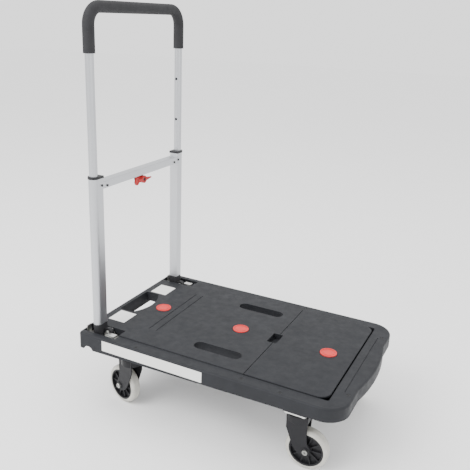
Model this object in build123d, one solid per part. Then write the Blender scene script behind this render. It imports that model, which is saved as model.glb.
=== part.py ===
from build123d import *
import os

# Folding platform trolley. Millimetres, +X forward, +Y left, +Z up.
# The origin is on the floor, under the middle of the whole trolley.

# ---- deck ----
LENGTH = 714.0            # rear edge to the foremost point of the front lip
WIDTH = 452.0
DECK_TOP = 208.5          # the loading surface above the floor
STEP = 2.5                # the loading surface stands this much above the rim band
PANEL_EDGE_R = 1.8        # rounding of the raised panel's edge
SKIN = 3.5                # wall of the moulding
SKIRT_REAR_Z = 163.5      # lower edge of the skirt at the rear
SKIRT_FRONT_Z = 173.5     # lower edge of the skirt at the front
BODY_LENGTH = 702.0       # deck without the bulge of the front lip
REAR_CORNER_R = 12.0
FRONT_CORNER_R = 55.0
EDGE_R = 5.0              # rounding of the deck's upper edge
PANEL_HALF_WIDTH = 191.0
PANEL_FRONT = 655.0       # distance of the panel's front edge from the rear edge
PANEL_CORNER_R = 27.0
LIP_HALF_WIDTH = 112.0
LIP_BLEND_R = 24.0        # rounding where the lip leaves the front edge

PAD_R = 20.5
PAD_FIRST = 114.5
PAD_PITCH = 239.0
PAD_HEIGHT = 1.5
PAD_SINK = 3.0

SLOT_LENGTH = 129.0
SLOT_WIDTH = 33.0
SLOT_Y = 128.5
SLOT_COLLAR = 3.0
COLLAR_Z = 182.0          # lower edge of the walls round the openings

GRAB_REAR = 14.5          # carrying opening in the rear edge
GRAB_SIDE_FRONT = 54.0
GRAB_FRONT = 75.5
GRAB_HALF_WIDTH = 65.0

SEAM = 454.5              # rear edge of the lid in the front of the deck
LID_HALF_WIDTH = PANEL_HALF_WIDTH
LID_GAP = 0.8
LID_THICKNESS = 4.0
LID_FRONT_GAP = 3.0       # room for the front edge as the lid swings
LID_HINGE_D = 645.0
LID_HINGE_Z = 198.0
LID_HINGE_R = 3.5
LID_KNUCKLE_Y = 95.0
LID_SIDE_LEDGE_END = 622.0
LID_EDGE_R = 1.5
RECESS_CORNER_R = 5.0     # squarer than the lid's corners, so that they can swing down past it
WELL_FLOOR_Z = 186.0
WELL_MARGIN = 9.0         # ledge that carries the lid
NOTCH_LENGTH = 16.0
NOTCH_HALF_WIDTH = 24.0
NOTCH_FLOOR_Z = 194.0

POCKET_REAR = 6.5
POCKET_FRONT = 104.5
POCKET_Y = (164.0, 208.0)
POCKET_FLOOR_Z = 188.0

GROOVES_D = (147.0, 169.0)
RELIEF_D = 31.0           # arched relief in the skirt at the rear corners
RELIEF_R = 14.8
RELIEF_TOP_Z = 173.0

LABEL_T = 0.4
LABEL_SIZE = (50.0, 57.0)
LABEL_Y = 100.5

# ---- handle ----
HANDLE_D = 38.5           # distance of the tube plane from the rear edge
TUBE_Y = 190.0
TUBE_R = 10.2
TUBE_WALL = 1.5
BAR_Z = 996.0             # centre of the top bar
BOW_R = 40.0              # bend of the bow's corners
LEG_BOTTOM_Z = 545.0
GRIP_R = 13.8
GRIP_BOTTOM_Z = 896.0
PROFILE_R = 12.5
PROFILE_INNER_Y = 170.0
PROFILE_WALL = 1.6
PROFILE_BORE_R = 10.9
PROFILE_Z = (225.5, 607.0)
COLLAR_T = 6.0
COLLAR_LIP = 1.6          # the collar stands this much outside the profile
CROSSBAR_Z = (579.0, 598.6)
PIN_Z = 591.5
PIN_R = 3.0
PIN_PITCH = 111.5
PIN_REST_Y = 177.0
CHAMBER_Y = (171.6, 177.5)        # chamber of the profile, inboard of its round channel
CONNECTOR_Z = (581.0, 596.6)
CROSSBAR_SCREW = (153.5, 585.0)   # (y, z) of the screw in the crossbar's end
PROFILE_SCREW = (174.5, 589.0)    # (y, z) of the screw in the profile
PIVOT_D = 62.0            # fold hinge, forward of the tube plane and inside the deck
PIVOT_Z = 201.5
HINGE_PIN_R = 4.0
FOOT_Z = 190.8            # the foot of the handle rests on the bracket here
ARM_Y = (171.5, 181.5)    # arm from the foot forward to the hinge pin
CHEEK_R = 6.0
STEEL_T = 2.5
BRACKET_Y = (165.5, 206.5)
INNER_CHEEK_Y = 166.0
OUTER_CHEEK_Y = 183.2
CHEEK_REAR_D = 53.0
TAB_D = (62.0, 92.0)
TAB_Z = 202.7
STOP_D = 7.5

# ---- release lever ----
LEVER_Z = 568.0
LEVER_HUB_R = 10.0
LEVER_ARM = 33.0
LEVER_PADDLE_R = 9.5
LEVER_TAIL = 30.0

# ---- casters ----
WHEEL_R = 51.0
TYRE_HALF_WIDTH = 13.0
CORE_R = 43.0
TRAIL = 28.0
STEM_D = (122.5, 583.5)
STEM_Y = 166.0
PLATE_TOP_Z = 148.0
PLATE_T = 4.0
PLATE_HALF = 27.0
BOLT_OFFSET = 20.0
BOLT_TOP_Z = 157.0
PEDESTAL_HALF = 28.0      # the deck's pedestal above each caster
RACE_R = 21.0
CROWN_R = 26.0
CROWN_Z = (122.0, 138.6)
KINGPIN_R = 5.0
LEG_Y = (15.6, 18.6)
AXLE_R = 4.0
SPOKES = 10
HEADINGS = {"rear_right": 164.4, "rear_left": 171.0, "front_right": 3.4, "front_left": 11.0}

FIT = 0.3                 # gap between pieces that move past each other
X_REAR = -LENGTH / 2
HANDLE_X = X_REAR + HANDLE_D
PIVOT_X = X_REAR + PIVOT_D
BAND_TOP = DECK_TOP - STEP
CEILING_Z = BAND_TOP - SKIN   # underside of the upper moulding


def x_at(distance):
    """Row X of a point this far forward of the deck's rear edge."""
    return X_REAR + distance


def box(x_range, y_range, z_range):
    """A box between two corners given as ranges."""
    size = [high - low for low, high in (x_range, y_range, z_range)]
    middle = [(high + low) / 2 for low, high in (x_range, y_range, z_range)]
    return Pos(*middle) * Box(*size)


def rod_x(x_range, y, z, radius):
    low, high = x_range
    return Pos((low + high) / 2, y, z) * Rot(0, 90, 0) * Cylinder(radius, high - low)


def rod_y(y_range, x, z, radius):
    low, high = y_range
    return Pos(x, (low + high) / 2, z) * Rot(90, 0, 0) * Cylinder(radius, high - low)


def rod_z(z_range, x, y, radius):
    low, high = z_range
    return Pos(x, y, (low + high) / 2) * Cylinder(radius, high - low)


def prism(face, z_range):
    """A plan shape, drawn in XY, between two heights."""
    low, high = z_range
    return Pos(0, 0, low) * extrude(face, high - low, dir=(0, 0, 1))


def side_prism(points, y_range):
    """A closed outline of (x, z) points, extruded along Y."""
    low, high = y_range
    outline = Polyline(*[(x, low, z) for x, z in points], close=True)
    return extrude(make_face(outline), high - low, dir=(0, 1, 0))


def mirrored(shape):
    return mirror(shape, about=Plane.XZ)


def both_sides(shape):
    return [shape, mirrored(shape)]


def rounded_plan(d_range, half_width, rear_r, front_r):
    """A plan rectangle between two distances, with its own rear and front corner radii."""
    rear, front = x_at(d_range[0]), x_at(d_range[1])
    face = Pos((rear + front) / 2, 0) * Rectangle(front - rear, 2 * half_width)
    front_corners = face.vertices().filter_by(lambda v: v.X > front - 1)
    face = fillet(front_corners, front_r)
    rear_corners = face.vertices().filter_by(lambda v: v.X < rear + 1)
    return fillet(rear_corners, rear_r)


# ---------------------------------------------------------------- deck
def lip_plan(inset):
    """The front lip bulges forward in the middle of the front edge."""
    base, nose = x_at(BODY_LENGTH - 30 - inset), x_at(LENGTH - inset)
    kink = x_at(BODY_LENGTH - inset)
    half = LIP_HALF_WIDTH - inset
    outline = [
        Line((base, -half), (kink, -half)),
        ThreePointArc((kink, -half), (nose, 0), (kink, half)),
        Line((kink, half), (base, half)),
        Line((base, half), (base, -half)),
    ]
    return make_face(outline)


def deck_plan(inset):
    """Outline of the whole deck, with the lip blended into the front edge."""
    body = rounded_plan((inset, BODY_LENGTH - inset), WIDTH / 2 - inset,
                        REAR_CORNER_R - inset, FRONT_CORNER_R - inset)
    face = body + lip_plan(inset)
    kinks = face.vertices().filter_by(lambda v: v.X > 300 and abs(abs(v.Y) - LIP_HALF_WIDTH + inset) < 0.1)
    return fillet(kinks, LIP_BLEND_R)


def skirt_trim():
    """Everything below the skirt's lower edge, which rises towards the front."""
    rear, front = X_REAR - 20, X_REAR + LENGTH + 20
    points = [(rear, SKIRT_REAR_Z), (x_at(46.5), SKIRT_REAR_Z), (x_at(574.5), SKIRT_FRONT_Z),
              (front, SKIRT_FRONT_Z), (front, 100), (rear, 100)]
    return side_prism(points, (-WIDTH, WIDTH))


def grab_plan(grow):
    """The rear carrying opening: straight at the back, arched at the front."""
    rear, side, front = x_at(GRAB_REAR - grow), x_at(GRAB_SIDE_FRONT), x_at(GRAB_FRONT + grow)
    half = GRAB_HALF_WIDTH + grow
    outline = [
        Line((rear, -half), (side, -half)),
        ThreePointArc((side, -half), (front, 0), (side, half)),
        Line((side, half), (rear, half)),
        Line((rear, half), (rear, -half)),
    ]
    return make_face(outline)


def slot_plan(grow):
    middle = x_at(PAD_FIRST + PAD_PITCH)
    return Pos(middle, SLOT_Y) * SlotOverall(SLOT_LENGTH + 2 * grow, SLOT_WIDTH + 2 * grow)


def lid_plan(grow, front_grow, corner_r):
    rear, front = x_at(SEAM - grow), x_at(PANEL_FRONT + front_grow)
    face = Pos((rear + front) / 2, 0) * Rectangle(front - rear, 2 * (LID_HALF_WIDTH + grow))
    return fillet(face.vertices().filter_by(lambda v: v.X > front - 1), corner_r)


def lid_rooms():
    """The storage well under the lid, and the wider room that the hinge end swings in."""
    under = DECK_TOP - LID_THICKNESS - FIT
    half = LID_HALF_WIDTH - WELL_MARGIN
    well = ((x_at(SEAM + WELL_MARGIN), x_at(LID_SIDE_LEDGE_END + 1)), (-half, half),
            (WELL_FLOOR_Z, under + 0.5))
    half = LID_HALF_WIDTH + LID_GAP
    swing = ((x_at(LID_SIDE_LEDGE_END), x_at(PANEL_FRONT + LID_FRONT_GAP + 1.5)), (-half, half),
             (WELL_FLOOR_Z, under))
    return [well, swing]


def notch_room():
    """Finger notch at the middle of the seam."""
    return ((x_at(SEAM - NOTCH_LENGTH), x_at(SEAM + WELL_MARGIN + 1)),
            (-NOTCH_HALF_WIDTH, NOTCH_HALF_WIDTH), (NOTCH_FLOOR_Z, BAND_TOP - 1))


def grown_box(x_range, y_range, z_range, wall):
    """The walls and floor round a room, as a larger solid box."""
    return box((x_range[0] - wall, x_range[1] + wall), (y_range[0] - wall, y_range[1] + wall),
               (z_range[0] - wall, CEILING_Z))


def knuckle_ranges(near, far):
    """Y ranges on both sides of each lid knuckle, between two distances from its middle."""
    middles = (-LID_KNUCKLE_Y, LID_KNUCKLE_Y)
    return [tuple(sorted((y + sign * near, y + sign * far))) for y in middles for sign in (-1, 1)]


def lid_lugs():
    """Lugs on the well's floor that hold the lid's hinge pins."""
    lugs = []
    half = LID_HINGE_R + 0.7
    for y_range in knuckle_ranges(12.5, 16.5):
        lug = box((x_at(LID_HINGE_D) - half, x_at(LID_HINGE_D) + half), y_range,
                  (WELL_FLOOR_Z - 1, LID_HINGE_Z))
        lug += rod_y(y_range, x_at(LID_HINGE_D), LID_HINGE_Z, half)
        lugs.append(lug - rod_y((y_range[0] - 1, y_range[1] + 1), x_at(LID_HINGE_D), LID_HINGE_Z, 1.5))
    return lugs


def stems():
    """Name and plan position of each caster."""
    places = {}
    for end, distance in zip(("rear", "front"), STEM_D):
        for side, sign in (("right", -1), ("left", 1)):
            places[f"{end}_{side}"] = (x_at(distance), sign * STEM_Y)
    return places


def ribs():
    """Stiffening ribs of the underframe."""
    rib_t, low = 2.5, 184.0
    across = (112, 173, 250, 457, 554, 668)
    solids = [box((x_at(d), x_at(d) + rib_t), (-222, 222), (low, CEILING_Z)) for d in across]
    for y in (90, 210):
        solids += both_sides(box((x_at(112), x_at(669)), (y, y + rib_t), (low, CEILING_Z)))
    # short ribs reach the screw bosses beside the front lip
    solids += both_sides(box((x_at(660), x_at(688)), (147, 147 + rib_t), (low, CEILING_Z)))
    return solids


def deck_shell():
    """The outer moulding before its openings: skirt, rim band and raised panel."""
    outer = prism(deck_plan(0), (SKIRT_REAR_Z, BAND_TOP))
    upper = outer.edges().filter_by(lambda e: e.bounding_box().min.Z > BAND_TOP - 0.01)
    outer = fillet(upper, EDGE_R)
    inner = prism(deck_plan(SKIN), (SKIRT_REAR_Z - 5, CEILING_Z))
    panel = prism(rounded_plan((2.5, PANEL_FRONT), PANEL_HALF_WIDTH, 4, PANEL_CORNER_R),
                  (BAND_TOP - 1, DECK_TOP))
    panel_top = panel.edges().filter_by(lambda e: e.bounding_box().min.Z > DECK_TOP - 0.01)
    return outer - inner + fillet(panel_top, PANEL_EDGE_R)


def through_rooms():
    """Openings that go down through the deck and the frame under it."""
    reach = (SKIRT_REAR_Z - 10, DECK_TOP + 5)
    rooms = [prism(grab_plan(0), reach)] + both_sides(prism(slot_plan(0), reach))
    pocket = box((x_at(POCKET_REAR), x_at(POCKET_FRONT)), POCKET_Y, (POCKET_FLOOR_Z, DECK_TOP + 5))
    rooms += both_sides(pocket)
    rooms += [box(*room) for room in lid_rooms()]
    rooms.append(box(*notch_room()))
    return rooms


def deck_moulding():
    """Upper moulding: loading surface, rim band, skirt and front lip."""
    notch = notch_room()
    cuts = [skirt_trim(), side_label(), labels()] + through_rooms()
    cuts.append(box(notch[0], notch[1], (BAND_TOP - 2, DECK_TOP + 5)))
    cuts.append(prism(lid_plan(LID_GAP, LID_FRONT_GAP, RECESS_CORNER_R),
                      (DECK_TOP - LID_THICKNESS - FIT, DECK_TOP + 5)))
    for d, y in pad_places()[:2]:
        cuts.append(rod_z((DECK_TOP - PAD_SINK, DECK_TOP + 5), x_at(d), y, PAD_R + 1.0))
    for d in GROOVES_D:
        cuts.append(box((x_at(d), x_at(d) + 3), (-122, 122), (DECK_TOP - 1.0, DECK_TOP + 5)))
    cuts.append(box((x_at(677), x_at(679.5)), (-142, 142), (BAND_TOP - 1.2, BAND_TOP + 5)))
    for d, y in screw_places():
        cuts.append(rod_z((CEILING_Z - 5, DECK_TOP + 5), x_at(d), y, 2.2))
        cuts.append(rod_z((BAND_TOP - 2.2, DECK_TOP + 5), x_at(d), y, 4.6))
    # arched relief in the lower edge of each rear corner
    relief = rod_y((WIDTH / 2 - 30, WIDTH / 2 + 5), x_at(RELIEF_D), RELIEF_TOP_Z - RELIEF_R, RELIEF_R)
    cuts += both_sides(relief)
    return deck_shell() - cuts


def inside_deck(shape):
    """The part of a shape that lies within the upper moulding's skirt."""
    return shape & prism(deck_plan(SKIN + FIT), (SKIRT_REAR_Z - 20, CEILING_Z))


def deck_sleeves():
    """Sleeves that line the carrying opening and the two hand slots."""
    reach = (COLLAR_Z, CEILING_Z)
    grab = prism(grab_plan(SLOT_COLLAR), reach) - prism(grab_plan(0), (COLLAR_Z - 1, CEILING_Z + 1))
    slot = prism(slot_plan(SLOT_COLLAR), reach) - prism(slot_plan(0), (COLLAR_Z - 1, CEILING_Z + 1))
    return Compound([inside_deck(grab)] + both_sides(slot))


def pocket_outside():
    """Outer volume of the tray in the left rear corner."""
    return box((x_at(POCKET_REAR - 2.5), x_at(POCKET_FRONT + SKIN)),
               (POCKET_Y[0] - SKIN, POCKET_Y[1] + SKIN), (POCKET_FLOOR_Z - SKIN, CEILING_Z))


def pocket_tray():
    """Open tray that holds the left hinge bracket."""
    room = box((x_at(POCKET_REAR), x_at(POCKET_FRONT)), POCKET_Y, (POCKET_FLOOR_Z, CEILING_Z + 1))
    holes = [rod_z((POCKET_FLOOR_Z - SKIN - 1, POCKET_FLOOR_Z + 1), x, y, 2.2) for x, y in bracket_screws()]
    return inside_deck(pocket_outside()) - room - holes


def well_walls():
    """Outer volume of the storage well and the finger notch."""
    return [grown_box(*room, SKIN) for room in lid_rooms() + [notch_room()]]


def well_tray():
    """Tray under the lid: the storage well, the finger notch and the lid's hinge lugs."""
    rooms = [box(*room) for room in lid_rooms() + [notch_room()]]
    walls = well_walls()
    return inside_deck(walls[0] + walls[1:]) - rooms + lid_lugs()


def underframe():
    """Frame under the deck: ribs, screw bosses and the pedestals of the casters."""
    top = CEILING_Z
    solids = ribs()
    for d, y in screw_places():
        solids.append(rod_z((top - 18, top), x_at(d), y, 5.5))
    sleeve_reach = (COLLAR_Z - 1, top + 1)
    cuts = [prism(grab_plan(SLOT_COLLAR), sleeve_reach)]
    cuts += both_sides(prism(slot_plan(SLOT_COLLAR), sleeve_reach))
    cuts += both_sides(pocket_outside()) + well_walls()
    for x, y in stems().values():
        half, inner = PEDESTAL_HALF, PEDESTAL_HALF - 4
        solids.append(box((x - half, x + half), (y - half, y + half), (PLATE_TOP_Z, top)))
        cuts.append(box((x - inner, x + inner), (y - inner, y + inner), (BOLT_TOP_Z + 3, top - 4)))
        for bolt_x, bolt_y in plate_bolts(x, y):
            cuts.append(rod_z((PLATE_TOP_Z - 1, BOLT_TOP_Z + 0.7), bolt_x, bolt_y, 2.9))
    for d, y in screw_places():
        cuts.append(rod_z((top - 15, top + 1), x_at(d), y, 2.2))
    return inside_deck(solids[0] + solids[1:]) - cuts


def pad_places():
    return [(PAD_FIRST + n * PAD_PITCH, 0.0) for n in range(3)]


def screw_places():
    """Rim screws as (distance from the rear edge, y)."""
    rights = [(174.0, 216.0), (457.5, 209.0), (554.5, 216.0), (688.0, 148.0)]
    return [(d, sign * y) for d, y in rights for sign in (-1, 1)]


def pad(distance):
    """A red anti-slip pad: a dished disc with a raised ring."""
    x = x_at(distance)
    base = DECK_TOP - PAD_SINK
    disc = rod_z((base, DECK_TOP + 0.6), x, 0, PAD_R)
    ring = rod_z((DECK_TOP, DECK_TOP + PAD_HEIGHT), x, 0, PAD_R)
    ring = ring - rod_z((DECK_TOP - 1, DECK_TOP + 9), x, 0, PAD_R - 3)
    centre = rod_z((DECK_TOP, DECK_TOP + PAD_HEIGHT - 0.3), x, 0, PAD_R - 7)
    return disc + ring + centre


def screw_head(x, y, z, radius, length):
    """A countersunk-looking round head with a cross recess, standing on its shank."""
    head = rod_z((z, z + 2.0), x, y, radius)
    shank = rod_z((z - length, z), x, y, radius * 0.45)
    cross = box((x - radius * 0.6, x + radius * 0.6), (y - 0.5, y + 0.5), (z + 1.1, z + 3))
    cross += box((x - 0.5, x + 0.5), (y - radius * 0.6, y + radius * 0.6), (z + 1.1, z + 3))
    return head + shank - cross


def rim_screws():
    return Compound([screw_head(x_at(d), y, BAND_TOP - 2.2, 4.2, 11) for d, y in screw_places()])


def lid():
    """The front panel lifts at its rear edge and turns on two hinge knuckles."""
    under = DECK_TOP - LID_THICKNESS
    plate = prism(lid_plan(0, 0, PANEL_CORNER_R), (under, DECK_TOP))
    plate = fillet(plate.edges().filter_by(lambda e: e.bounding_box().min.Z > DECK_TOP - 0.01), LID_EDGE_R)
    plate = plate - box((x_at(SEAM) - 1, x_at(SEAM) + 9), (-NOTCH_HALF_WIDTH, NOTCH_HALF_WIDTH), (190, 220))
    for y in (-60, 0, 60):
        plate += box((x_at(SEAM + 24), x_at(LID_SIDE_LEDGE_END)), (y - 1.2, y + 1.2), (under - 3, under))
    for y in (-LID_KNUCKLE_Y, LID_KNUCKLE_Y):
        y_range = (y - 12, y + 12)
        plate += rod_y(y_range, x_at(LID_HINGE_D), LID_HINGE_Z, LID_HINGE_R)
        plate += box((x_at(LID_HINGE_D) - 3, x_at(LID_HINGE_D) + 3), y_range, (LID_HINGE_Z, under))
        plate = plate - rod_y((y - 20, y + 20), x_at(LID_HINGE_D), LID_HINGE_Z, 1.5 + FIT)
    seat = rod_z((DECK_TOP - PAD_SINK, DECK_TOP + 5), x_at(pad_places()[2][0]), 0, PAD_R + 1.0)
    return plate - seat


def lid_pins():
    """Two steel hinge pins held in the lugs of the well."""
    reach = 17.0
    pins = [rod_y((y - reach, y + reach), x_at(LID_HINGE_D), LID_HINGE_Z, 1.5)
            for y in (-LID_KNUCKLE_Y, LID_KNUCKLE_Y)]
    return Compound(pins)


def labels():
    """Two blank stickers let flush into the deck beside the carrying opening."""
    middle = x_at(HANDLE_D + 10)
    half_length, half_width = LABEL_SIZE[0] / 2, LABEL_SIZE[1] / 2
    sticker = box((middle - half_length, middle + half_length),
                  (LABEL_Y - half_width, LABEL_Y + half_width), (DECK_TOP - LABEL_T, DECK_TOP))
    return Compound(both_sides(sticker))


def side_label():
    """Blank strip let flush into the right side of the skirt."""
    y = -WIDTH / 2
    return box((x_at(75.5), x_at(363.5)), (y, y + LABEL_T), (SKIRT_REAR_Z + 10, BAND_TOP - EDGE_R))


# ---------------------------------------------------------------- fold hinge
def bracket_screws():
    """Screws of one hinge bracket, on the left side."""
    return [(x_at(19), 176.0), (x_at(19), 196.0), (x_at(84), 174.5)]


def hinge_bracket():
    """Pressed steel bracket in the left pocket: base, two cheeks, rear plate and a bent tab."""
    floor = POCKET_FLOOR_Z
    low = floor + STEEL_T
    body = box((x_at(STOP_D), x_at(TAB_D[1])), BRACKET_Y, (floor, low))
    body += box((x_at(STOP_D), x_at(STOP_D) + STEEL_T), (183, 200), (floor, DECK_TOP + 6))
    rear = x_at(CHEEK_REAR_D)
    front = x_at(TAB_D[1])
    shared = [(rear, low - 1), (rear, PIVOT_Z - 4),
              (PIVOT_X - CHEEK_R, PIVOT_Z), (PIVOT_X + CHEEK_R, PIVOT_Z)]
    inner = shared + [(x_at(76), low - 1)]
    outer = shared + [(x_at(TAB_D[0] + 10), TAB_Z), (front, TAB_Z), (front, low - 1)]
    for y, points in ((INNER_CHEEK_Y, inner), (OUTER_CHEEK_Y, outer)):
        y_range = (y, y + STEEL_T)
        body += side_prism(points, y_range)
        body += rod_y(y_range, PIVOT_X, PIVOT_Z, CHEEK_R)
        body = body - rod_y((y - 1, y + STEEL_T + 1), PIVOT_X, PIVOT_Z, HINGE_PIN_R)
    # the upper edge of the outer cheek is bent outwards into a bright tab
    body += box((x_at(TAB_D[0] + 7), front), (OUTER_CHEEK_Y, OUTER_CHEEK_Y + 15), (TAB_Z - STEEL_T, TAB_Z))
    for x, y in bracket_screws():
        body = body - rod_z((floor - 1, low + 1), x, y, 2.2)
    return body


def bracket_screw_group():
    screws = []
    for x, y in bracket_screws():
        for sign in (-1, 1):
            screws.append(screw_head(x, sign * y, POCKET_FLOOR_Z + STEEL_T, 3.8, 5.5))
    return Compound(screws)


def hinge_pins():
    """The fold hinge's two pins, one through each bracket."""
    pin = rod_y((INNER_CHEEK_Y - 0.8, OUTER_CHEEK_Y + STEEL_T + 1.5), PIVOT_X, PIVOT_Z, HINGE_PIN_R)
    return Compound(both_sides(pin))


def profile_section(inset, z_range):
    """Plan of the left lower profile: half round outside, square inside."""
    radius = PROFILE_R - inset
    x = HANDLE_X
    inner = PROFILE_INNER_Y + inset
    section = box((x - radius, x + radius), (inner, TUBE_Y), z_range)
    return section + rod_z(z_range, x, TUBE_Y, radius)


def base_block():
    """Black foot of the left profile, with an arm that reaches forward to the hinge pin."""
    top = PROFILE_Z[0]
    body = profile_section(0.0, (FOOT_Z, top)) + profile_section(PROFILE_WALL, (top, top + 28))
    body += box((HANDLE_X, PIVOT_X), ARM_Y, (FOOT_Z, PIVOT_Z + 9))
    body += rod_y(ARM_Y, PIVOT_X, PIVOT_Z, PIVOT_Z - FOOT_Z)
    return body - rod_y((150, 220), PIVOT_X, PIVOT_Z, HINGE_PIN_R + FIT)


# ---------------------------------------------------------------- handle
def lower_profile():
    """Aluminium extrusion with a round channel for the leg and a narrow chamber inside it."""
    outer = profile_section(0.0, PROFILE_Z)
    bore = rod_z((0, 700), HANDLE_X, TUBE_Y, PROFILE_BORE_R)
    chamber = box((HANDLE_X - 10.5, HANDLE_X + 10.5), CHAMBER_Y, (0, 700))
    foot_room = profile_section(PROFILE_WALL, (PROFILE_Z[0] - 1, PROFILE_Z[0] + 28))
    window = box((HANDLE_X - 10, HANDLE_X + 10), (PROFILE_INNER_Y - 5, PROFILE_INNER_Y + 3), CONNECTOR_Z)
    pin_hole = rod_y((170, 185), HANDLE_X, PIN_Z, PIN_R + FIT)
    screw_hole = rod_x((HANDLE_X, HANDLE_X + 20), *PROFILE_SCREW, 1.9)
    return outer - [bore, chamber, foot_room, window, pin_hole, screw_hole]


def collar():
    """Black guide collar on top of the left profile."""
    low, high = PROFILE_Z[1], PROFILE_Z[1] + COLLAR_T
    body = profile_section(-COLLAR_LIP, (low, high))
    upper = body.edges().filter_by(lambda e: e.bounding_box().min.Z > high - 0.01)
    body = fillet(upper, 1.5)
    return body - rod_z((500, 700), HANDLE_X, TUBE_Y, TUBE_R + FIT)


def crossbar():
    """Rectangular tube between the two profiles."""
    x, wall = HANDLE_X, 1.8
    half = PROFILE_R - 0.3
    bar = box((x - half, x + half), (-PROFILE_INNER_Y, PROFILE_INNER_Y), CROSSBAR_Z)
    bar = fillet(bar.edges().filter_by(Axis.Y), 2.0)
    room = box((x - half + wall, x + half - wall), (-200, 200), (CROSSBAR_Z[0] + wall, CROSSBAR_Z[1] - wall))
    cable_slot = box((x - 5, x + 5), (-6, 6), (CROSSBAR_Z[0] - 1, CROSSBAR_Z[0] + wall + 1))
    cuts = [room, cable_slot]
    cuts += both_sides(rod_x((x, x + 20), *CROSSBAR_SCREW, 1.9))
    for side in (-5.5, 5.5):
        cuts.append(rod_z((CROSSBAR_Z[0] - 1, CROSSBAR_Z[0] + wall + 1), x - 9.0, side, 1.0))
    return bar - cuts


def connector():
    """Plastic block that joins the crossbar's left end to the profile and guides the lock pin."""
    x = HANDLE_X
    low, high = CONNECTOR_Z
    body = box((x - 9.7, x + 9.7), (128, PROFILE_INNER_Y + 3), (low + 0.2, high - 0.2))
    body += box((x - 9.7, x + 9.7), (CHAMBER_Y[0] + FIT, CHAMBER_Y[1] - FIT), (low - 6, high + 6))
    cuts = [rod_y((120, 190), x, PIN_Z, PIN_R + FIT)]
    cuts += [rod_x((x, x + 20), y, z, 1.2) for y, z in (CROSSBAR_SCREW, PROFILE_SCREW)]
    return body - cuts


def face_screw(x, y, z):
    """A small pan-head screw driven in from the front."""
    head = rod_x((x, x + 1.6), y, z, 3.0)
    shank = rod_x((x - 8, x), y, z, 1.2)
    slot = box((x + 1.0, x + 3), (y - 2, y + 2), (z - 0.4, z + 0.4))
    slot += box((x + 1.0, x + 3), (y - 0.4, y + 0.4), (z - 2, z + 2))
    return head + shank - slot


def crossbar_screws():
    """Two screws at each end: one in the crossbar, one in the profile."""
    inner = face_screw(HANDLE_X + PROFILE_R - 0.3, *CROSSBAR_SCREW)
    outer = face_screw(HANDLE_X + PROFILE_R, *PROFILE_SCREW)
    return Compound(both_sides(inner) + both_sides(outer))


def lever_lug():
    """Small hanger under the crossbar with the lever's pivot stud."""
    x = HANDLE_X
    plate = (x - 11.8, x - 8.0)
    body = box(plate, (-9, 9), (LEVER_Z, CROSSBAR_Z[0])) + rod_x(plate, 0, LEVER_Z, 9.0)
    body += rod_x((x - 11.8, x + 12.6), 0, LEVER_Z, 2.8)
    body += rod_x((x + 12.6, x + 14.6), 0, LEVER_Z, 4.6)
    for side in (-5.5, 5.5):
        body += rod_z((CROSSBAR_Z[0] - 0.5, CROSSBAR_Z[0] + 1.8), x - 9.0, side, 1.0)
    return body - box((x + 13.8, x + 18), (-3.4, 3.4), (LEVER_Z - 0.5, LEVER_Z + 0.5))


def release_lever():
    """Red lever: round hub, broad round paddle on the right and a slim tail on the left."""
    x = HANDLE_X
    arms = (x + 12.6, x + 15.8)
    hub = rod_x((x - 7.6, arms[1]), 0, LEVER_Z, LEVER_HUB_R)
    paddle = rod_x(arms, -LEVER_ARM, LEVER_Z, LEVER_PADDLE_R)
    arm = box(arms, (-LEVER_ARM, 0), (LEVER_Z - 4, LEVER_Z + 4))
    outline = Polyline((arms[0], 0, LEVER_Z - 6), (arms[0], LEVER_TAIL, LEVER_Z - 1.5),
                       (arms[0], LEVER_TAIL, LEVER_Z + 1.5), (arms[0], 0, LEVER_Z + 6), close=True)
    tail = extrude(make_face(outline), arms[1] - arms[0], dir=(1, 0, 0))
    tip = rod_x(arms, LEVER_TAIL, LEVER_Z, 2.0)
    body = hub + paddle + arm + tail + tip
    recess = rod_x((arms[1] - 1, arms[1] + 5), -LEVER_ARM, LEVER_Z, LEVER_PADDLE_R - 2.5)
    bore = rod_x((x - 20, x + 30), 0, LEVER_Z, 2.8 + FIT)
    head_room = rod_x((x + 12.3, x + 30), 0, LEVER_Z, 4.6 + 2 * FIT)
    return body - [recess, bore, head_room]


def lock_pin():
    """Left lock pin with the pull wire that runs to the lever."""
    x = HANDLE_X
    pin = rod_y((122, PIN_REST_Y - 1), x, PIN_Z, PIN_R)
    pin += rod_y((PIN_REST_Y - 1, PIN_REST_Y), x, PIN_Z, PIN_R - 0.7)
    wire = rod_y((8, 122), x, PIN_Z, 0.9)
    nipple = rod_y((8, 12), x, PIN_Z, 2.2)
    return pin + wire + nipple


def bow_path(bottom):
    """Centre line of the bow from one leg's lower end to the other's."""
    corners = [(HANDLE_X, -TUBE_Y, bottom), (HANDLE_X, -TUBE_Y, BAR_Z),
               (HANDLE_X, TUBE_Y, BAR_Z), (HANDLE_X, TUBE_Y, bottom)]
    return FilletPolyline(*corners, radius=BOW_R)


def swept(path, bottom, radius):
    start = Plane(origin=(HANDLE_X, -TUBE_Y, bottom), z_dir=(0, 0, 1))
    return sweep(start * Circle(radius), path=path)


def bow_tube():
    path = bow_path(LEG_BOTTOM_Z)
    tube = swept(path, LEG_BOTTOM_Z, TUBE_R) - swept(path, LEG_BOTTOM_Z, TUBE_R - TUBE_WALL)
    for step in range(3):
        z = PIN_Z + step * PIN_PITCH
        tube = tube - both_sides(rod_y((TUBE_Y - TUBE_R - 2, TUBE_Y), HANDLE_X, z, PIN_R + 0.6))
    return tube


def grip():
    path = bow_path(GRIP_BOTTOM_Z)
    return swept(path, GRIP_BOTTOM_Z, GRIP_R) - swept(path, GRIP_BOTTOM_Z, TUBE_R)


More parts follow.
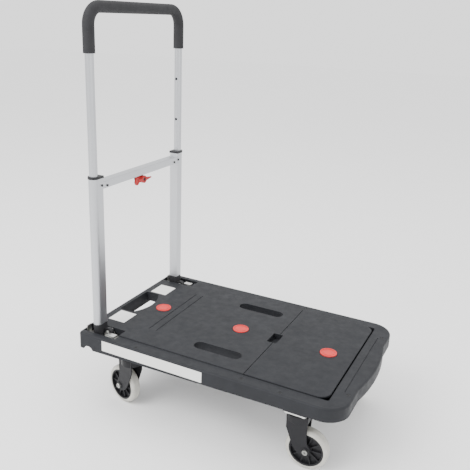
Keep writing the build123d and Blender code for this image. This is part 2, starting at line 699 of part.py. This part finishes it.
def leg_bush():
    """Guide plug in the lower end of the left leg."""
    x, z = HANDLE_X, LEG_BOTTOM_Z
    plug = rod_z((z, z + 22), x, TUBE_Y, TUBE_R - TUBE_WALL)
    shoe = rod_z((z - 9, z), x, TUBE_Y, PROFILE_BORE_R - FIT)
    return plug + shoe


# ---------------------------------------------------------------- casters
def plate_bolts(x, y):
    return [(x + dx, y + dy) for dx in (-BOLT_OFFSET, BOLT_OFFSET) for dy in (-BOLT_OFFSET, BOLT_OFFSET)]


def caster_plate(x, y):
    """Top plate with the upper race and the kingpin."""
    low = PLATE_TOP_Z - PLATE_T
    half = PLATE_HALF
    plate = box((x - half, x + half), (y - half, y + half), (low, PLATE_TOP_Z))
    plate = fillet(plate.edges().filter_by(Axis.Z), 6)
    for bolt_x, bolt_y in plate_bolts(x, y):
        plate = plate - rod_z((low - 1, PLATE_TOP_Z + 1), bolt_x, bolt_y, 2.9)
    race = rod_z((low - 5, low), x, y, RACE_R) - rod_z((low - 6, low - 3), x, y, RACE_R - 2.5)
    kingpin = rod_z((low - 26, low), x, y, KINGPIN_R) + rod_z((low - 30, low - 26), x, y, 9)
    return plate + race + kingpin


def plate_bolt_group():
    """Hexagon-head bolts of the four plates."""
    bolts = []
    low = PLATE_TOP_Z - PLATE_T
    for x, y in stems().values():
        for bolt_x, bolt_y in plate_bolts(x, y):
            head = prism(Pos(bolt_x, bolt_y) * RegularPolygon(4.4, 6), (low - 3.2, low))
            bolts.append(head + rod_z((low, BOLT_TOP_Z), bolt_x, bolt_y, 2.6))
    return Compound(bolts)


def fork_leg_outline():
    """Side view of a fork leg, in the caster's own frame, as (x, z) points."""
    low = CROWN_Z[0] + 4
    return [(-21, low), (-21, 104), (-12, 80), (-3, 57), (10, 43), (21, 38.5), (33, 39), (40, 47), (38, 60),
            (30, 74), (28, 96), (29, low)]


def fork():
    """Swivel fork in its own frame: crown on the Z axis, wheel trailing along +X."""
    body = rod_z(CROWN_Z, 0, 0, CROWN_R) + box((-21, 29), (-LEG_Y[1], LEG_Y[1]), CROWN_Z)
    body += rod_z((CROWN_Z[1] - 2, CROWN_Z[1] + 1.2), 0, 0, RACE_R - 3.2)
    for sign in (-1, 1):
        y_range = sorted((sign * LEG_Y[0], sign * LEG_Y[1]))
        leg = side_prism(fork_leg_outline(), y_range)
        leg = fillet(leg.edges().filter_by(Axis.Y).filter_by(lambda e: e.center().Z < 110), 5.0)
        boss = rod_y(sorted((sign * LEG_Y[0], sign * (LEG_Y[1] + 1.2))), TRAIL, WHEEL_R, 10.5)
        body += leg + boss
        body = body - rod_y(sorted((sign * 10, sign * 30)), TRAIL, WHEEL_R, AXLE_R)
    return body - rod_z((110, 170), 0, 0, KINGPIN_R + FIT)


def tyre():
    """Rounded soft tread moulded round the core."""
    ring = rod_y((-TYRE_HALF_WIDTH, TYRE_HALF_WIDTH), TRAIL, WHEEL_R, WHEEL_R)
    rims = ring.edges().filter_by(GeomType.CIRCLE)
    ring = fillet(rims, 7.5)
    return ring - rod_y((-20, 20), TRAIL, WHEEL_R, CORE_R - 2)


def wheel_core():
    """Black core: rim, dished disc with spokes on both faces, and hub."""
    core = rod_y((-TYRE_HALF_WIDTH, TYRE_HALF_WIDTH), TRAIL, WHEEL_R, CORE_R - 2)
    for sign in (-1, 1):
        low, high = sorted((sign * 5.0, sign * (TYRE_HALF_WIDTH + 1)))
        dish = rod_y((low, high), TRAIL, WHEEL_R, CORE_R - 6) - rod_y((low - 1, high + 1), TRAIL, WHEEL_R, 13)
        core = core - dish
        low, high = sorted((sign * 4.0, sign * (TYRE_HALF_WIDTH - 3)))
        for turn in range(SPOKES):
            spoke = Pos((CORE_R + 9) / 2 - 1, (low + high) / 2, 0) * Box(CORE_R - 14, high - low, 2.6)
            core += Pos(TRAIL, 0, WHEEL_R) * Rot(0, turn * 360 / SPOKES, 0) * spoke
    hub = rod_y((-15.2, 15.2), TRAIL, WHEEL_R, 9.5)
    return core + hub - rod_y((-30, 30), TRAIL, WHEEL_R, AXLE_R + FIT)


def axle():
    """Axle bolt with a round socket head."""
    outer = LEG_Y[1] + 1.2
    body = rod_y((-outer, outer + 4.5), TRAIL, WHEEL_R, AXLE_R)
    head = rod_y((-outer - 3.4, -outer), TRAIL, WHEEL_R, 6.4)
    socket = Pos(TRAIL, -outer - 4, WHEEL_R) * Rot(-90, 0, 0) * extrude(RegularPolygon(2.6, 6), 3)
    return body + head - socket


def axle_nut():
    """Lock nut with a rounded collar, on the other end of the axle."""
    outer = LEG_Y[1] + 1.2
    nut = Pos(TRAIL, outer, WHEEL_R) * Rot(-90, 0, 0) * extrude(RegularPolygon(6.8, 6), 3.6)
    nut += rod_y((outer, outer + 4.6), TRAIL, WHEEL_R, 5.2)
    return nut - rod_y((outer - 1, outer + 6), TRAIL, WHEEL_R, AXLE_R)


def placed(shape, name):
    """A caster piece, from the caster's own frame to its place under the deck."""
    x, y = stems()[name]
    return Pos(x, y, 0) * Rot(0, 0, HEADINGS[name]) * shape


# ---------------------------------------------------------------- all nodes
def nodes():
    found = {
        "deck_moulding": deck_moulding(),
        "underframe": underframe(),
        "deck_sleeves": deck_sleeves(),
        "pocket_trays": Compound(both_sides(pocket_tray())),
        "well_tray": well_tray(),
        "front_lid": lid(),
        "lid_hinge_pins": lid_pins(),
        "rim_screws": rim_screws(),
        "deck_labels": labels(),
        "side_label": side_label(),
        "bracket_screws": bracket_screw_group(),
        "hinge_pins": hinge_pins(),
        "crossbar": crossbar(),
        "crossbar_screws": crossbar_screws(),
        "lever_lug": lever_lug(),
        "release_lever": release_lever(),
        "bow_tube": bow_tube(),
        "grip": grip(),
        "plate_bolts": plate_bolt_group(),
    }
    for name, (distance, _) in zip(("pad_rear", "pad_middle", "pad_front"), pad_places()):
        found[name] = pad(distance)
    pairs = {"hinge_bracket": hinge_bracket(), "base_block": base_block(), "lower_profile": lower_profile(),
             "collar": collar(), "connector": connector(), "lock_pin": lock_pin(), "leg_bush": leg_bush()}
    for name, shape in pairs.items():
        found[f"{name}_left"] = shape
        found[f"{name}_right"] = mirrored(shape)
    moving = {"fork": fork(), "tyre": tyre(), "wheel_core": wheel_core(), "axle": axle(),
              "axle_nut": axle_nut()}
    for place, (x, y) in stems().items():
        found[f"caster_plate_{place}"] = caster_plate(x, y)
        for name, shape in moving.items():
            found[f"{name}_{place}"] = placed(shape, place)
    return found


os.makedirs("parts", exist_ok=True)
for node_name, shape in nodes().items():
    export_step(shape, f"parts/{node_name}.step")
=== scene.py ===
import bpy
import math
from mathutils import Matrix, Vector

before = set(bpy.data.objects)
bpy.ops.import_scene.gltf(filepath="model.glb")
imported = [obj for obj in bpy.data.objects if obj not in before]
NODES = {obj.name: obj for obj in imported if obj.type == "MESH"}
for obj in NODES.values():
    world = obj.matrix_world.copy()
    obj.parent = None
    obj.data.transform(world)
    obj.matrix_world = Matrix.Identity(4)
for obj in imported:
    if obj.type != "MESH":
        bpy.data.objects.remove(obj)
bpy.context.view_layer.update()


# ------------------------------------------------------------------ material kit
class Shader:
    """One material's node tree, with short helpers for the nodes that repeat."""

    def __init__(self, name, color, roughness, metallic=0.0):
        self.material = bpy.data.materials.new(name)
        self.material.use_nodes = True
        self.tree = self.material.node_tree
        self.bsdf = self.tree.nodes["Principled BSDF"]
        self.bsdf.inputs["Base Color"].default_value = (*color, 1.0)
        self.bsdf.inputs["Roughness"].default_value = roughness
        self.bsdf.inputs["Metallic"].default_value = metallic
        self.color = color
        self.place = self.node("ShaderNodeTexCoord").outputs["Object"]
        self.normal = None

    def node(self, kind, **settings):
        made = self.tree.nodes.new(kind)
        for key, value in settings.items():
            setattr(made, key, value)
        return made

    def link(self, source, target):
        self.tree.links.new(source, target)

    def scaled(self, scale):
        """Object coordinates stretched by a factor along each axis."""
        mapping = self.node("ShaderNodeMapping")
        mapping.inputs["Scale"].default_value = scale
        self.link(self.place, mapping.inputs["Vector"])
        return mapping.outputs["Vector"]

    def noise(self, size, detail=3.0, roughness=0.55, stretch=(1.0, 1.0, 1.0)):
        """Noise whose features are about this many metres across."""
        texture = self.node("ShaderNodeTexNoise")
        texture.inputs["Scale"].default_value = 1.0 / size
        texture.inputs["Detail"].default_value = detail
        texture.inputs["Roughness"].default_value = roughness
        self.link(self.scaled(stretch), texture.inputs["Vector"])
        return texture.outputs["Fac"]

    def ramp(self, source, *stops):
        """Colour ramp from (position, colour or grey value) stops."""
        ramp = self.node("ShaderNodeValToRGB")
        elements = ramp.color_ramp.elements
        while len(elements) < len(stops):
            elements.new(0.5)
        for element, (position, value) in zip(elements, stops):
            element.position = position
            color = value if isinstance(value, tuple) else (value,) * 3
            element.color = (*color, 1.0)
        self.link(source, ramp.inputs["Fac"])
        return ramp.outputs["Color"]

    def mix(self, factor, first, second, blend="MIX"):
        """Colour mix; the factor and the colours may be sockets or constants."""
        made = self.node("ShaderNodeMix", data_type="RGBA", blend_type=blend)
        factor_socket, first_socket, second_socket = made.inputs[0], made.inputs[6], made.inputs[7]
        for value, socket in ((factor, factor_socket), (first, first_socket), (second, second_socket)):
            if isinstance(value, bpy.types.NodeSocket):
                self.link(value, socket)
            elif isinstance(value, tuple):
                socket.default_value = (*value, 1.0)
            else:
                socket.default_value = value
        return made.outputs[2]

    def shade(self, source, low, high, dark, light):
        """The base colour varied between two multiples by a texture."""
        colors = [tuple(min(1.0, c * k) for c in self.color) for k in (dark, light)]
        return self.ramp(source, (low, colors[0]), (high, colors[1]))

    def bump(self, source, height, strength=1.0):
        """Adds a layer of relief, its height in metres."""
        made = self.node("ShaderNodeBump")
        made.inputs["Distance"].default_value = height
        made.inputs["Strength"].default_value = strength
        self.link(source, made.inputs["Height"])
        if self.normal is not None:
            self.link(self.normal, made.inputs["Normal"])
        self.normal = made.outputs["Normal"]

    def round_edges(self, radius):
        """Catches light along sharp edges, as a small moulding radius does."""
        made = self.node("ShaderNodeBevel", samples=4)
        made.inputs["Radius"].default_value = radius
        self.normal = made.outputs["Normal"]

    def finish(self, color=None, roughness=None):
        if color is not None:
            self.link(color, self.bsdf.inputs["Base Color"])
        if roughness is not None:
            self.link(roughness, self.bsdf.inputs["Roughness"])
        if self.normal is not None:
            self.link(self.normal, self.bsdf.inputs["Normal"])
        return self.material


def moulded_plastic(name, color, grain, roughness=0.5, scuffs=0.0):
    """Textured plastic: fine spark-eroded grain, faint mottling and pale scuffs."""
    made = Shader(name, color, roughness)
    made.bsdf.inputs["Specular IOR Level"].default_value = 0.22
    made.round_edges(0.0006)
    made.bump(made.noise(grain, 2.0), 0.00012, 0.5)
    made.bump(made.noise(0.03, 3.0), 0.0002, 0.25)
    mottle = made.shade(made.noise(0.045, 5.0), 0.3, 0.72, 0.9, 1.12)
    if scuffs:
        mark = made.ramp(made.noise(0.006, 6.0, 0.7, (0.35, 1.0, 1.0)), (0.60, 0.0), (0.70, scuffs))
        pale = tuple(min(1.0, c * 1.7 + 0.03) for c in color)
        mottle = made.mix(mark, mottle, pale)
    rough = made.ramp(made.noise(0.018, 4.0), (0.3, roughness - 0.07), (0.7, roughness + 0.08))
    return made.finish(mottle, rough)


def anodised(name, along, color=(0.50, 0.51, 0.53), roughness=0.36):
    """Silver anodised aluminium with fine drawn lines along one axis."""
    made = Shader(name, color, roughness, metallic=1.0)
    stretch = tuple(0.012 if axis == along else 1.0 for axis in "xyz")
    lines = made.noise(0.0007, 3.0, 0.6, stretch)
    broad = made.noise(0.05, 3.0)
    made.bump(lines, 0.00002, 0.4)
    tone = made.shade(lines, 0.3, 0.7, 0.93, 1.04)
    duller = tuple(c * 0.93 for c in color)
    tone = made.mix(made.ramp(broad, (0.35, 0.0), (0.75, 0.35)), tone, duller)
    rough = made.ramp(lines, (0.25, roughness - 0.05), (0.75, roughness + 0.09))
    return made.finish(tone, rough)


def soft_rubber(name, color, pore, roughness=0.75, depth=0.00025):
    """Rubber or foam-like skin with pores and a randomly mottled tone."""
    made = Shader(name, color, roughness)
    made.bsdf.inputs["Specular IOR Level"].default_value = 0.35
    cells = made.node("ShaderNodeTexVoronoi", feature="F1")
    cells.inputs["Scale"].default_value = 1.0 / pore
    made.link(made.place, cells.inputs["Vector"])
    made.bump(cells.outputs["Distance"], depth, 0.5)
    made.bump(made.noise(0.012, 4.0), 0.0003, 0.3)
    tone = made.shade(made.noise(0.02, 5.0), 0.3, 0.7, 0.85, 1.2)
    rough = made.ramp(made.noise(0.01, 3.0), (0.3, roughness - 0.08), (0.7, roughness + 0.08))
    return made.finish(tone, rough)


def plated_steel(name, color=(0.66, 0.66, 0.64), roughness=0.34):
    """Zinc-plated steel: cloudy, slightly spangled."""
    made = Shader(name, color, roughness, metallic=1.0)
    cells = made.node("ShaderNodeTexVoronoi", feature="F1")
    cells.inputs["Scale"].default_value = 260.0
    made.link(made.place, cells.inputs["Vector"])
    cloud = made.noise(0.006, 5.0)
    made.bump(cloud, 0.00005, 0.4)
    tone = made.shade(cells.outputs["Distance"], 0.1, 0.9, 0.9, 1.08)
    tone = made.mix(made.ramp(cloud, (0.4, 0.0), (0.75, 0.5)), tone, tuple(c * 0.78 for c in color))
    rough = made.ramp(cloud, (0.3, roughness - 0.08), (0.75, roughness + 0.14))
    return made.finish(tone, rough)


def sticker(name, color):
    """Satin paper-backed film, with a hint of unevenness under it."""
    made = Shader(name, color, 0.42)
    made.bump(made.noise(0.02, 2.0), 0.0001, 0.3)
    tone = made.shade(made.noise(0.03, 3.0), 0.3, 0.7, 0.97, 1.02)
    rough = made.ramp(made.noise(0.004, 3.0), (0.3, 0.36), (0.7, 0.48))
    return made.finish(tone, rough)


# ------------------------------------------------------------------ materials of the CAD nodes
def paint(material, *names):
    for name in names:
        slots = NODES[name].data.materials
        for index in range(len(slots)):
            slots[index] = material


def at_sides(*parts):
    """Names of the nodes that come as a left and right pair."""
    return [f"{part}_{side}" for part in parts for side in ("left", "right")]


def at_casters(*parts):
    """Names of the nodes that each of the four casters has."""
    places = ("rear_right", "rear_left", "front_right", "front_left")
    return [f"{part}_{place}" for part in parts for place in places]


paint(moulded_plastic("deck_plastic", (0.015, 0.016, 0.019), 0.0011, 0.55, scuffs=0.12),
      "deck_moulding", "underframe", "deck_sleeves", "pocket_trays", "well_tray")
paint(moulded_plastic("lid_plastic", (0.013, 0.014, 0.017), 0.0011, 0.53, scuffs=0.10), "front_lid")
paint(moulded_plastic("black_plastic", (0.020, 0.020, 0.022), 0.0009, 0.45),
      "lever_lug", *at_sides("base_block", "collar", "connector", "leg_bush"))
paint(moulded_plastic("fork_plastic", (0.012, 0.012, 0.014), 0.0010, 0.42), *at_casters("fork"))
paint(moulded_plastic("wheel_plastic", (0.016, 0.016, 0.018), 0.0012, 0.38), *at_casters("wheel_core"))
paint(soft_rubber("tread", (0.46, 0.45, 0.41), 0.0012, 0.62, 0.0001), *at_casters("tyre"))
paint(soft_rubber("grip_rubber", (0.016, 0.016, 0.018), 0.0011, 0.72), "grip")
paint(soft_rubber("red_pad", (0.60, 0.030, 0.028), 0.0014, 0.48, 0.0001),
      "pad_rear", "pad_middle", "pad_front")
paint(moulded_plastic("red_plastic", (0.42, 0.018, 0.018), 0.0015, 0.36), "release_lever")
paint(anodised("tube_aluminium", "z"), "bow_tube", *at_sides("lower_profile"))
paint(anodised("bar_aluminium", "y"), "crossbar")
paint(plated_steel("steel"), "hinge_pins", "bracket_screws", "plate_bolts", "lid_hinge_pins",
      *at_sides("hinge_bracket", "lock_pin"), *at_casters("caster_plate", "axle_nut"))
paint(plated_steel("bolt_steel", (0.32, 0.32, 0.31), 0.4), *at_casters("axle"))
paint(plated_steel("dark_steel", (0.05, 0.05, 0.052), 0.45), "rim_screws", "crossbar_screws")
paint(sticker("label_white", (0.78, 0.78, 0.76)), "deck_labels", "side_label")


# ------------------------------------------------------------------ camera
def basis(yaw, pitch, roll):
    """Camera axes from its heading, its tilt below the horizon and its roll, in degrees."""
    a, e, r = (math.radians(v) for v in (yaw, pitch, roll))
    forward = Vector((-math.sin(a) * math.cos(e), math.cos(a) * math.cos(e), -math.sin(e)))
    level = Vector((math.cos(a), math.sin(a), 0.0))
    above = level.cross(forward)
    right = math.cos(r) * level + math.sin(r) * above
    up = math.cos(r) * above - math.sin(r) * level
    return right, up, -forward


def add_camera():
    data = bpy.data.cameras.new("camera")
    camera = bpy.data.objects.new("camera", data)
    bpy.context.scene.collection.objects.link(camera)
    axes = Matrix(basis(27.34, 18.29, 1.80)).transposed()
    camera.matrix_world = Matrix.Translation((0.6158, -1.3313, 0.9830)) @ axes.to_4x4()
    data.sensor_width = 36.0
    data.lens = 47.9
    data.shift_x, data.shift_y = 0.0305, -0.0254
    data.clip_start, data.clip_end = 0.05, 50.0
    bpy.context.scene.camera = camera


# ------------------------------------------------------------------ studio
def add_light(name, place, target, size, watts, color=(1.0, 1.0, 1.0)):
    data = bpy.data.lights.new(name, "AREA")
    data.shape = "RECTANGLE"
    data.size, data.size_y = size
    data.energy = watts
    data.color = color
    light = bpy.data.objects.new(name, data)
    light.location = place
    light.rotation_euler = (Vector(target) - Vector(place)).to_track_quat("-Z", "Y").to_euler()
    bpy.context.scene.collection.objects.link(light)


def add_floor():
    half = 12.0
    mesh = bpy.data.meshes.new("floor")
    corners = [(-half, -half, 0), (half, -half, 0), (half, half, 0), (-half, half, 0)]
    mesh.from_pydata(corners, [], [(0, 1, 2, 3)])
    floor = bpy.data.objects.new("floor", mesh)
    bpy.context.scene.collection.objects.link(floor)
    made = Shader("floor_paint", (0.98, 0.98, 0.98), 0.95)
    mesh.materials.append(made.finish(made.shade(made.noise(0.5, 2.0), 0.3, 0.7, 0.995, 1.0)))


def add_world():
    world = bpy.data.worlds.new("studio")
    bpy.context.scene.world = world
    world.use_nodes = True
    background = world.node_tree.nodes["Background"]
    background.inputs["Color"].default_value = (1.0, 1.0, 1.0, 1.0)
    background.inputs["Strength"].default_value = 1.7


add_camera()
add_floor()
add_world()
add_light("key", (-1.4, -2.2, 2.6), (0, 0, 0.4), (1.8, 1.8), 90)
add_light("front", (2.6, -0.8, 1.6), (0, 0, 0.3), (1.2, 2.0), 12)
add_light("top", (0.0, 0.3, 3.2), (0, 0, 0.2), (2.5, 2.5), 30)
